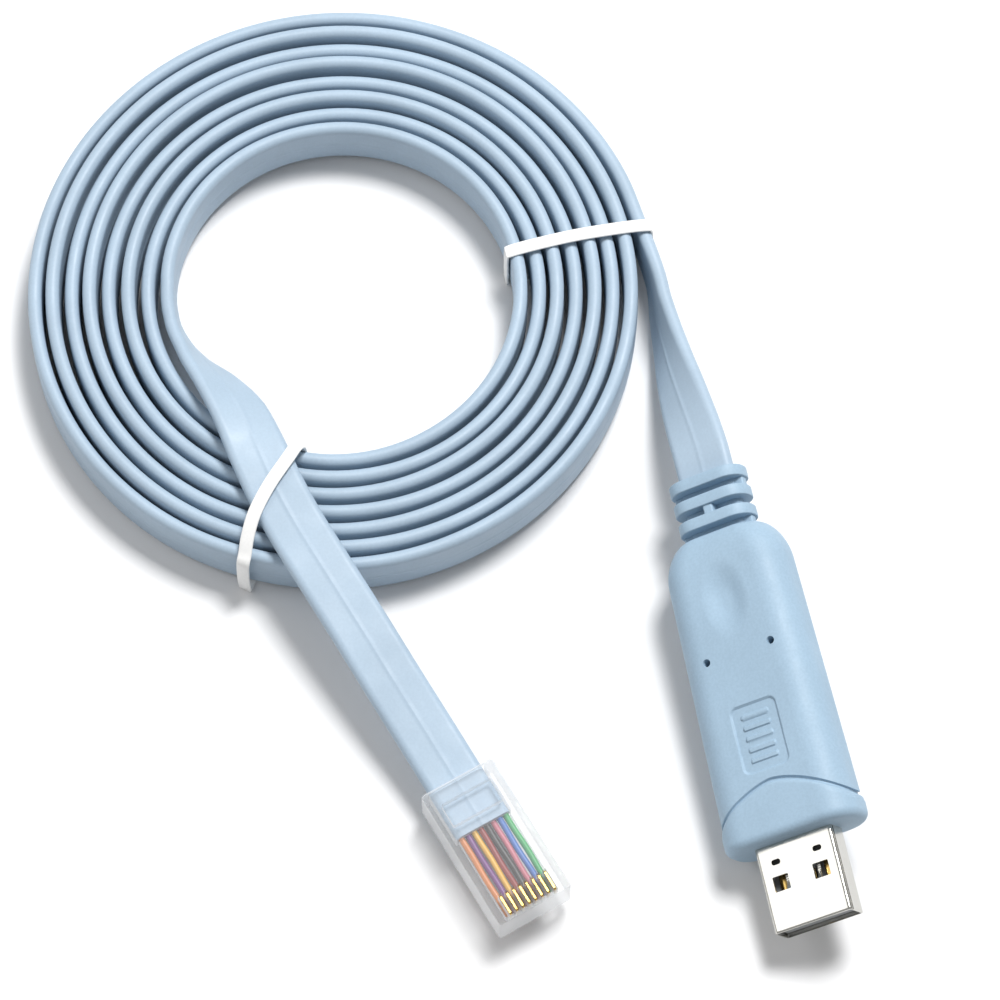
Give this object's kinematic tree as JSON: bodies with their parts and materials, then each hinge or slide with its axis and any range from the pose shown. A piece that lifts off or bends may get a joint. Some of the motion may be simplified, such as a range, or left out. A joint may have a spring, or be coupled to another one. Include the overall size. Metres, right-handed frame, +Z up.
{
  "type": "rj45 console cable",
  "caption": "Coiled flat cable with a moulded USB plug on one end and a clear modular plug on the other, held by two thin bands.",
  "frame": {"origin": "on the surface that the cable lies on, under the middle of the box round the two plugs", "axes": "+Z up; +Y from the plugs towards the coil, the long way of the box round the plugs; +X to the right, from the modular plug towards the USB plug"},
  "size_m": [0.121, 0.1437, 0.0183],
  "materials": {
    "cable_jacket": "soft satin PVC, light steel blue",
    "usb_overmould": "soft satin moulded PVC, light steel blue",
    "band_white": "smooth white",
    "nickel_shell": "bright nickel plate",
    "tongue_insulator": "satin grey",
    "contact_gold": "gold plate",
    "clear_plastic": "clear, polished",
    "wire_orange": "satin orange insulation",
    "wire_violet": "satin violet insulation",
    "wire_yellow": "satin yellow insulation",
    "wire_brown": "satin brown insulation",
    "wire_grey": "satin dark grey insulation",
    "wire_pink": "satin pink insulation",
    "wire_blue": "satin blue insulation",
    "wire_green": "satin green insulation"
  },
  "bodies": {
    "root": {"cable_coil": "cable_jacket", "cable_rj45_lead": "cable_jacket", "cable_usb_lead": "cable_jacket", "tie_band_upper": "band_white", "tie_band_lower": "band_white", "usb_housing": "usb_overmould", "usb_shell": "nickel_shell", "usb_tongue": "tongue_insulator", "usb_contact_1": "contact_gold", "usb_contact_2": "contact_gold", "usb_contact_3": "contact_gold", "usb_contact_4": "contact_gold", "rj45_body": "clear_plastic", "rj45_contact_1": "contact_gold", "rj45_contact_2": "contact_gold", "rj45_contact_3": "contact_gold", "rj45_contact_4": "contact_gold", "rj45_contact_5": "contact_gold", "rj45_contact_6": "contact_gold", "rj45_contact_7": "contact_gold", "rj45_contact_8": "contact_gold", "wire_orange": "wire_orange", "wire_violet": "wire_violet", "wire_yellow": "wire_yellow", "wire_brown": "wire_brown", "wire_grey": "wire_grey", "wire_pink": "wire_pink", "wire_blue": "wire_blue", "wire_green": "wire_green"}
  },
  "joints": []
}
